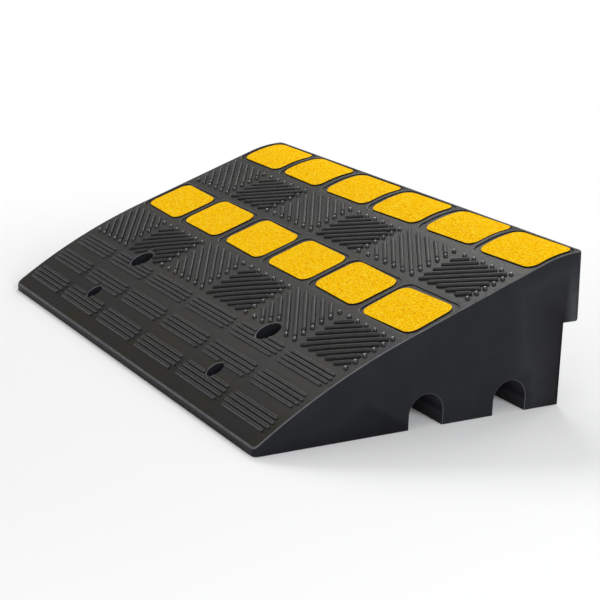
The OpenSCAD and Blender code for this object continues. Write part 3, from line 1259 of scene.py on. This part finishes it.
@dataclass
class Tread:
    """Slanting ribs, studs and bars, which stand on the slope in tiles."""

    layout: Layout
    rib_width: float = 4.4
    rib_height: float = 2.5
    stud_size: float = 4.8
    stud_height: float = 2.6
    stud_gap: float = 1.6
    studs: int = 6
    stud_side: float = 6.0
    stud_foot: float = 3.0
    stud_head: float = 5.2
    bar_width: float = 2.8
    bar_height: float = 1.9
    bar_pitch: float = 4.8
    bars: int = 4
    bar_step: float = 3.0
    uneven: float = 0.06
    seed: int = 7

    NEAR_END = (180, 150, 120, 90)
    FAR_END = (90, 60, 30, 0)
    RIB_CUTS = 4
    BAR_CUTS = 2
    SHORTEST = 0.125
    NO_CROSSING = (2.0, 2.0)

    def build(self, plain: bpy.types.Material, rib_shaded: bpy.types.Material,
              stud_shade_and_highlight: bpy.types.Material) -> list[bpy.types.Object]:
        """Make the tread.

        Args:
            plain: The rubber of the bars.
            rib_shaded: The rubber of the ribs, darker than the body's as painted shade.
            stud_shade_and_highlight: The smoother rubber of the studs, darker as painted shade,
                with a painted highlight on their tops.

        Returns:
            The ribs, the studs and the bars.
        """
        layout, tree = self.layout, self._tree()
        tiles = [(column, row) for column in range(layout.columns)
                 for row in (layout.upper_rib_row, layout.lower_rib_row)]
        studs = [stud for tile in tiles for stud in self._studs(*tile)]
        ribs = [line for tile in tiles for line in self._ribs(*tile)]
        bars = [line for column in range(layout.columns)
                for row in range(layout.bar_rows) for line in self._bars(column, row)]
        kinds = (("tread_ribs", Raised.RIB, ribs, (self.rib_width, self.rib_height), rib_shaded),
                 ("tread_studs", Raised.STUD, [(stud, stud) for stud in studs],
                  (self.stud_size, self.stud_height), stud_shade_and_highlight),
                 ("tread_bars", Raised.BAR, bars, (self.bar_width, self.bar_height), plain))
        return [self._grow(tree, *kind) for kind in kinds]

    # Where the shapes stand

    def _cut(self, line: Line, far: float) -> list[Line]:
        """Cut a line short of the fixing holes.

        Args:
            line: The line.
            far: Its distance from the holes' edges.

        Returns:
            What is left of it.
        """
        lines = [line]
        for hole in self.layout.holes:
            left = []
            for start, end in lines:
                run = (end[0] - start[0], end[1] - start[1])
                enters, leaves = self._crossing(start, run, hole, far)
                if enters >= 1 or leaves <= 0:
                    left.append((start, end))
                    continue
                if enters > 0:
                    left.append((start, along(start, run, enters)))
                if leaves < 1:
                    left.append((along(start, run, leaves), end))
            lines = left
        return lines

    def _crossing(self, start: Flat, run: Flat, hole: Hole, far: float) -> Flat:
        """Find where a line enters and leaves the room round a hole.

        Args:
            start: Where the line starts.
            run: How far it goes, across and in depth.
            hole: The hole.
            far: Width of the room round the hole's edge.

        Returns:
            Both places, as shares of the line's length.
        """
        off = (start[0] - hole.across, start[1] - hole.depth)
        square = run[0] ** 2 + run[1] ** 2
        double = 2 * (off[0] * run[0] + off[1] * run[1])
        over = off[0] ** 2 + off[1] ** 2 - (hole.entry / 2 + far) ** 2
        inner = double**2 - 4 * square * over
        if inner <= 0:
            return self.NO_CROSSING
        root = math.sqrt(inner)
        return (-double - root) / (2 * square), (-double + root) / (2 * square)

    def _way(self, column: int) -> Flat:
        """Find the way from a stud to the next place of the grid along its rib.

        Args:
            column: The column that it is in.

        Returns:
            How far that is, across and in depth.
        """
        left, right = self.layout.sides(column)
        across = (right - left - self.stud_size / 2 - self.stud_side) / (self.studs - 1)
        depth = (self.layout.rib_row - self.stud_foot - self.stud_head) / (self.studs - 1)
        return -across, depth if column % 2 == 0 else -depth

    def _studs(self, column: int, row: float) -> list[Flat]:
        """Place a tile's studs, along its right side and the side where its ribs start.

        Args:
            column: Column of the tile.
            row: Front edge of the tile.

        Returns:
            Their places.
        """
        way = self._way(column)
        across, depth = -way[0], abs(way[1])
        x, y = self.layout.sides(column)[1] - self.stud_size / 2, row + self.stud_foot
        start = y if way[1] > 0 else y + (self.studs - 1) * depth
        places = [(x, y + k * depth) for k in range(self.studs)]
        places += [(x - k * across, start) for k in range(1, self.studs)]
        return [self._clear(place, way) for place in places]

    def _clear(self, stud: Flat, way: Flat) -> Flat:
        """Move a stud that is too near a hole up along its rib.

        Args:
            stud: Its place.
            way: The way along its rib.

        Returns:
            Its new place.
        """
        far = self.layout.hole_margin + self.stud_size / 2
        for hole in self.layout.holes:
            enters, leaves = self._crossing(stud, way, hole, far)
            if enters < 0 < leaves:
                stud = along(stud, way, leaves)
        return stud

    def _ribs(self, column: int, row: float) -> list[Line]:
        """Draw a tile's ribs, each from its stud to the edge of the tile.

        Args:
            column: Column of the tile.
            row: Front edge of the tile.

        Returns:
            Their middle lines.
        """
        way, half = self._way(column), self.rib_width / 2
        start = (half + self.stud_size / 2 + self.stud_gap) / math.hypot(*way)
        x_end = self.layout.sides(column)[0] + half
        y_end = row + self.layout.rib_row - half if way[1] > 0 else row + half
        lines = []
        for x, y in self._studs(column, row):
            reach = min((x_end - x) / way[0], (y_end - y) / way[1])
            if reach > start:
                whole = (along((x, y), way, start), along((x, y), way, reach))
                lines += self._cut(whole, self.layout.hole_margin + half)
        return self._long_enough(lines, self.rib_width)

    def _bars(self, column: int, row: int) -> list[Line]:
        """Draw a tile's bars.

        Args:
            column: Column of the tile.
            row: Its row, counted from the ribs down.

        Returns:
            Their middle lines.
        """
        layout, half = self.layout, self.bar_width / 2
        left, right = layout.sides(column)
        tile = (self.bars - 1) * self.bar_pitch + self.bar_width
        first = layout.lower_rib_row - layout.bar_lead - tile - row * (tile + layout.bar_gap)
        lines = []
        for number in range(self.bars):
            short = half + (self.bar_step if number in (0, self.bars - 1) else 0.0)
            y = first + half + number * self.bar_pitch
            lines += self._cut(((left + short, y), (right - short, y)), layout.hole_margin + half)
        return self._long_enough(lines, self.bar_width)

    def _long_enough(self, lines: list[Line], width: float) -> list[Line]:
        """Leave out lines that are too short for their width."""
        return [line for line in lines if math.dist(*line) > self.SHORTEST * width]

    # How the shapes are made

    def _unit(self, shape: Raised) -> bpy.types.Object:
        """Make a shape one wide and one high, whose far half can be drawn out along +X.

        Args:
            shape: The shape.

        Returns:
            An object that holds it.
        """
        near, far = self.NEAR_END, self.FAR_END
        if shape is Raised.STUD:
            angles = [*near, *far[1:]]
            stretch = [0.0] * len(angles)
        else:
            cuts = self.RIB_CUTS if shape is Raised.RIB else self.BAR_CUTS
            angles = [*near, *far[:1] * (cuts - 1), *far]
            stretch = [*[0.0] * len(near), *[k / cuts for k in range(1, cuts)], *[1.0] * len(far)]
        upper = len(angles)
        ring = [*range(upper), *range(upper - 2, 0, -1)]
        points, faces, weights, edge_and_highlight_share = [], [], [], []
        # Each ring's share of the pale edge colour, a painted highlight
        for wide, high, edge_and_highlight in shape.value:
            for n, k in enumerate(ring):
                turn, side = math.radians(angles[k]), 1 if n < upper else -1
                points.append((wide / 2 * math.cos(turn), side * wide / 2 * math.sin(turn), high))
                weights.append(stretch[k])
                edge_and_highlight_share.append(edge_and_highlight)
        count, last = len(ring), len(shape.value) - 1
        for level in range(last):
            for n in range(count):
                a, b = level * count + n, level * count + (n + 1) % count
                faces.append((b, a, a + count, b + count))
        for base, flip in ((0, 1), (last * count, -1)):
            low = [base + (count - k) % count for k in range(upper)]
            for k in range(upper - 1):
                face = [base + k, base + k + 1, low[k + 1], low[k]]
                faces.append(tuple(dict.fromkeys(face[::flip])))
        mesh = bpy.data.meshes.new("raised_shape")
        mesh.from_pydata(points, [], faces)
        mesh.shade_smooth()
        for name, values in (("stretch", weights), ("edge_and_highlight_share", edge_and_highlight_share)):
            mesh.attributes.new(name, "FLOAT", "POINT").data.foreach_set("value", values)
        return put("raised_shape", mesh)

    @staticmethod
    def _tree() -> bpy.types.NodeTree:
        """Build the tree that stands a shape on each line and lays it on the slope.

        Returns:
            The tree.
        """
        kinds = {"Shape": "NodeSocketObject", "Width": "NodeSocketFloat",
                 "Height": "NodeSocketFloat", "Uneven": "NodeSocketFloat",
                 "Seed": "NodeSocketInt", "Material": "NodeSocketMaterial"}
        tree = GeometryTree("stand_on_slope", kinds)
        given, run = tree.given, tree.named("run", "FLOAT_VECTOR")
        shape = tree.node("GeometryNodeObjectInfo", {}, {"Object": given["Shape"]})
        turned = tree.node("FunctionNodeAlignRotationToVector", {"axis": "X", "pivot_axis": "Z"},
                           {"Vector": run})
        spread = tree.node("FunctionNodeRandomValue", {"data_type": "FLOAT"},
                           {"Min": tree.sum("SUBTRACT", 1.0, given["Uneven"]),
                            "Max": tree.sum("ADD", 1.0, given["Uneven"]), "Seed": given["Seed"]})
        chance = next(s for s in spread.outputs if s.enabled)
        size = tree.node("ShaderNodeCombineXYZ", {},
                         {0: given["Width"], 1: given["Width"],
                          2: tree.sum("MULTIPLY", given["Height"], chance)})
        placed = tree.node("GeometryNodeInstanceOnPoints", {},
                           {"Points": given["Geometry"], "Instance": shape.outputs["Geometry"],
                            "Rotation": turned.outputs[0], "Scale": size.outputs[0]})
        real = tree.node("GeometryNodeRealizeInstances", {}, {0: placed.outputs[0]})
        drawn = tree.node("ShaderNodeVectorMath", {"operation": "SCALE"},
                          {0: run, "Scale": tree.named("stretch", "FLOAT")})
        moved = tree.node("GeometryNodeSetPosition", {},
                          {"Geometry": real.outputs[0], "Offset": drawn.outputs[0]})
        return tree.close(tree.lay(moved.outputs[0]))

    def _grow(self, tree: bpy.types.NodeTree, name: str, shape: Raised, lines: list[Line],
              size: Flat, finish: bpy.types.Material) -> bpy.types.Object:
        """Stand one kind of shape along its lines.

        Args:
            tree: The tree.
            name: Name of the piece.
            shape: The kind of shape.
            lines: The lines.
            size: Width and height.
            finish: The rubber.

        Returns:
            The piece.
        """
        toe = self.layout.slope.depth / 2
        mesh = bpy.data.meshes.new(name + "_places")
        mesh.from_pydata([(MM * x, MM * (y - toe), 0.0) for (x, y), _ in lines], [], [])
        runs = [MM * v for (x, y), (u, w) in lines for v in (u - x, w - y, 0.0)]
        mesh.attributes.new("run", "FLOAT_VECTOR", "POINT").data.foreach_set("vector", runs)
        holder = self._unit(shape)
        piece = grow(name, mesh, tree, {"Shape": holder, "Width": MM * size[0],
                                        "Height": MM * size[1], "Uneven": self.uneven,
                                        "Seed": self.seed, "Material": finish,
                                        **slope_inputs(self.layout.slope)})
        bpy.data.objects.remove(holder)
        for attribute in ("run", "stretch"):
            found = piece.data.attributes.get(attribute)
            if found:
                piece.data.attributes.remove(found)
        return piece


# The pads


class PadRow(Enum):
    """The two rows of pads, by the start of their nodes' names."""

    SLOPE = "slope_pad"
    CREST = "crest_pad"


@dataclass
class Pads:
    """Reflective pads, cut to size and laid by hand in their pockets.

    A nudge says how far a pad lies off its pocket's middle, across and up the slope, and by
    how many degrees it is turned.
    """

    layout: Layout
    side_gap: float = 5.5
    end_gap: float = 3.3
    corner: float = 11.0
    thick: float = 1.4
    edge: float = 0.35
    foot: Flat = (0.4, 0.3)
    nudges: dict[PadRow, tuple[Point, ...]] = field(default_factory=lambda: {
        PadRow.SLOPE: ((1.2, 0.5, -2.3), (-0.7, 1.4, -1.1), (3.2, 0.8, -2.0),
                       (3.1, 0.6, -0.9), (1.0, 1.0, -1.9), (-0.5, -1.6, 1.6)),
        PadRow.CREST: ((1.1, 0.7, -0.2), (-0.7, 0.5, -1.0), (1.7, -0.5, 0.9),
                       (0.9, -0.4, 2.0), (3.2, 1.7, 1.7), (0.8, 1.1, 1.8))})

    CORNER_TURNS = 7
    STEPS = (10, 10)
    PITCH = (5.0, 4.0)
    BEVEL_SHARE = 0.3
    BEVEL_DARK_SHARE = 0.4

    def build(self, finish: bpy.types.Material) -> dict[str, bpy.types.Object]:
        """Make the pads.

        Args:
            finish: The yellow sheet.

        Returns:
            Each pad, by the name of the node that it replaces.
        """
        layout, tree, pads = self.layout, self._tree(), {}
        for row, front, depth in ((PadRow.SLOPE, layout.slope_row, layout.slope_pocket),
                                  (PadRow.CREST, layout.crest_row, layout.crest_pocket)):
            for column, (right, up, turn) in enumerate(self.nudges[row]):
                node = f"{row.value}_{column + 1}"
                place = (MM * (layout.middle(column) + right),
                         MM * (front + depth / 2 + up - layout.slope.depth / 2),
                         -MM * layout.pocket_sink)
                pads[node] = grow(node.replace("pad", "sheet"),
                                  self._flat(depth - 2 * self.end_gap), tree,
                                  {"Place": place, "Turn": math.radians(turn),
                                   "Material": finish, **slope_inputs(layout.slope)})
        return pads

    def _flat(self, depth: float) -> bpy.types.Mesh:
        """Make a flat pad round the origin.

        Args:
            depth: Its depth, front to back.

        Returns:
            Its mesh.
        """
        skin, half = Shell(), self.layout.pocket_width / 2 - self.side_gap
        sides = (-half, half, -depth / 2, depth / 2)
        outline = rounded(*sides, self.corner, self.CORNER_TURNS, self.STEPS)
        bevel = self.BEVEL_SHARE * self.edge
        rings = []
        # The sides are near-black, the bevel partly, the top not
        for inwards, height, dark_sides in ((self.foot[0], 0.0, 1.0), (0.0, self.foot[1], 1.0),
                                         (0.0, self.thick - self.edge, 1.0),
                                         (bevel, self.thick - bevel, self.BEVEL_DARK_SHARE),
                                         (self.edge, self.thick, 0.0)):
            rings.append(skin.add([(*s.moved(inwards), height) for s in outline], dark_sides))
        skin.strips(rings)
        grid = rows_of(*sides, self.PITCH)
        skin.fill([rings[-1]], FROM_ABOVE, grid, lambda x, y: (x, y, self.thick))
        skin.fill([rings[0]], FROM_ABOVE, grid, lambda x, y: (x, y, 0.0))
        return skin.mesh("flat_pad")

    @staticmethod
    def _tree() -> bpy.types.NodeTree:
        """Build the tree that turns a pad, puts it in its place and lays it on the slope.

        Returns:
            The tree.
        """
        tree = GeometryTree("lay_pad", {"Place": "NodeSocketVector", "Turn": "NodeSocketFloat",
                                        "Material": "NodeSocketMaterial"})
        turn = tree.node("ShaderNodeCombineXYZ", {}, {2: tree.given["Turn"]}).outputs[0]
        placed = tree.node("GeometryNodeTransform", {},
                           {"Geometry": tree.given["Geometry"], "Rotation": turn,
                            "Translation": tree.given["Place"]})
        return tree.close(tree.lay(placed.outputs[0]))


# The studio


@dataclass(frozen=True)
class Camera:
    """The photograph's viewpoint, with angles in degrees and lengths in millimetres."""

    azimuth: float = 59.76
    elevation: float = 16.06
    roll: float = 1.96
    target: Point = (56.19, 4.1, 60.0)
    distance: float = 1718.54
    lens: float = 97.515
    sensor: float = 36.0
    clip: Flat = (0.05, 50.0)

    def build(self) -> bpy.types.Object:
        """Set up the camera.

        Returns:
            The camera.
        """
        azimuth, elevation, roll = map(math.radians, (self.azimuth, self.elevation, self.roll))
        back = Vector((math.sin(azimuth) * math.cos(elevation),
                       -math.cos(azimuth) * math.cos(elevation), math.sin(elevation)))
        right = (-back).cross(Vector((0, 0, 1))).normalized()
        up = right.cross(-back)
        sideways = math.cos(roll) * right + math.sin(roll) * up
        upright = -math.sin(roll) * right + math.cos(roll) * up
        data = bpy.data.cameras.new("camera")
        data.lens, data.sensor_width = self.lens, self.sensor
        data.clip_start, data.clip_end = self.clip
        camera = put("camera", data)
        turn = Matrix((sideways, upright, back)).transposed().to_4x4()
        place = MM * (Vector(self.target) + self.distance * back)
        camera.matrix_world = Matrix.Translation(place) @ turn
        bpy.context.scene.camera = camera
        return camera


@dataclass(frozen=True)
class Lamp:
    """A square soft light: where it stands, its size, power and tint, and where it points."""

    name: str
    place: Point
    size: float
    power: float
    tint: Point = (1.0, 1.0, 1.0)
    aim: Point = (0.0, 0.0, 0.08)

    def build(self) -> bpy.types.Object:
        """Set up the lamp.

        Returns:
            The lamp.
        """
        data = bpy.data.lights.new(self.name, "AREA")
        data.shape, data.size = "SQUARE", self.size
        data.energy, data.color = self.power, self.tint
        place = Vector(self.place)
        turn = (place - Vector(self.aim)).to_track_quat("Z", "Y").to_matrix().to_4x4()
        lamp = put(self.name, data)
        lamp.matrix_world = Matrix.Translation(place) @ turn
        return lamp


@dataclass(frozen=True)
class Studio:
    """A pale floor, a white surround and soft lamps."""

    floor_size: float = 14.0
    floor_level: float = -0.0004
    floor_tone: Colour = (0.90, 0.90, 0.90, 1.0)
    floor_roughness: float = 0.9
    floor_shine: float = 0.1
    floor_fade: Flat = (0.42, 1.1)
    surround: float = 0.50
    lamps: tuple[Lamp, ...] = (
        Lamp("back_lamp", (-0.6, 2.3, 1.8), 0.9, 9.0),
        Lamp("left_lamp", (-1.95, 1.15, 2.0), 0.9, 23.0),
        Lamp("high_lamp", (-2.23, 0.0, 2.09), 0.9, 13.5),
        Lamp("right_lamp", (2.72, 0.0, 1.35), 1.2, 51.0, (0.97, 0.985, 1.0)),
    )

    def build(self) -> None:
        """Set up the studio."""
        scene = bpy.context.scene
        scene.view_settings.view_transform = "Standard"
        world = bpy.data.worlds.new("surround")
        scene.world = world
        world.use_nodes = True
        nodes = Nodes(world.node_tree)
        light = world.node_tree.nodes["Background"]
        light.inputs["Color"].default_value = WHITE
        rays = nodes.node("ShaderNodeLightPath").outputs
        seen = nodes.sum("MAXIMUM", rays["Is Camera Ray"], rays["Is Transmission Ray"])
        nodes.feed(light.inputs["Strength"], nodes.blend(seen, self.surround, 1.0, "FLOAT"))
        self._floor()
        for lamp in self.lamps:
            lamp.build()

    def _floor(self) -> None:
        """Lay the floor just under the ramp."""
        half = self.floor_size / 2
        mesh = bpy.data.meshes.new("floor")
        mesh.from_pydata([(x * half, y * half, self.floor_level)
                          for x, y in ((-1, -1), (1, -1), (1, 1), (-1, 1))], [], [(0, 1, 2, 3)])
        nodes = MaterialTree("pale_floor")
        inputs = nodes.shader.inputs
        inputs["Base Color"].default_value = self.floor_tone
        inputs["Roughness"].default_value = self.floor_roughness
        inputs["Specular IOR Level"].default_value = self.floor_shine
        white = nodes.node("ShaderNodeEmission", {}, {"Color": WHITE, "Strength": 1.0})
        away = nodes.node("ShaderNodeVectorMath", {"operation": "LENGTH"},
                          {0: nodes.place}).outputs["Value"]
        seen = nodes.node("ShaderNodeLightPath").outputs["Is Camera Ray"]
        share = nodes.sum("MULTIPLY", seen, nodes.ramp(away, self.floor_fade))
        mixed = nodes.node("ShaderNodeMixShader", {},
                           {0: share, 1: nodes.shader.outputs[0], 2: white.outputs[0]})
        nodes.feed(nodes.tree.nodes["Material Output"].inputs["Surface"], mixed.outputs[0])
        mesh.materials.append(nodes.material)
        put("floor", mesh)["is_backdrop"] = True


# The whole


def keep(piece: bpy.types.Object, slot: str, *nodes: str) -> None:
    """Bind a piece to the frame and report it.

    Args:
        piece: The piece.
        slot: The material slot that it takes its finish from; not used.
        *nodes: The nodes that it replaces.
    """
    normals = piece.modifiers.new("Even shading", "WEIGHTED_NORMAL")
    normals.weight = FACE_WEIGHT
    if nodes:
        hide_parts(*nodes)
    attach(piece, BODY)
    LOG.info("%s: %d faces", piece.name, len(piece.data.polygons))


def corners(bounds: Sequence[Sequence[float]]) -> list[list[float]]:
    """Give a box as plain lists of numbers."""
    return [[float(value) for value in corner] for corner in bounds]


def main() -> None:
    """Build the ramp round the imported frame."""
    logging.basicConfig(level=logging.INFO, format="%(name)s %(message)s")
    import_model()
    cad_box = corners(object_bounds())
    Camera().build()
    Studio().build()
    layout = Layout()
    rubber, yellow = MOULDED.build(), PadFinish().build()
    keep(RampBody(layout).build(rubber), RUBBER_SLOT, "ramp_body")
    for piece in Tread(layout).build(rubber, RIBBED_SHADED.build(), STUD_SHADE_AND_HIGHLIGHT.build()):
        keep(piece, RUBBER_SLOT)
    for node, pad in Pads(layout).build(yellow).items():
        keep(pad, PAD_SLOT, node)
    {"cad": cad_box, "visual": corners(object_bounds())}


if __name__ == "__main__":
    main()
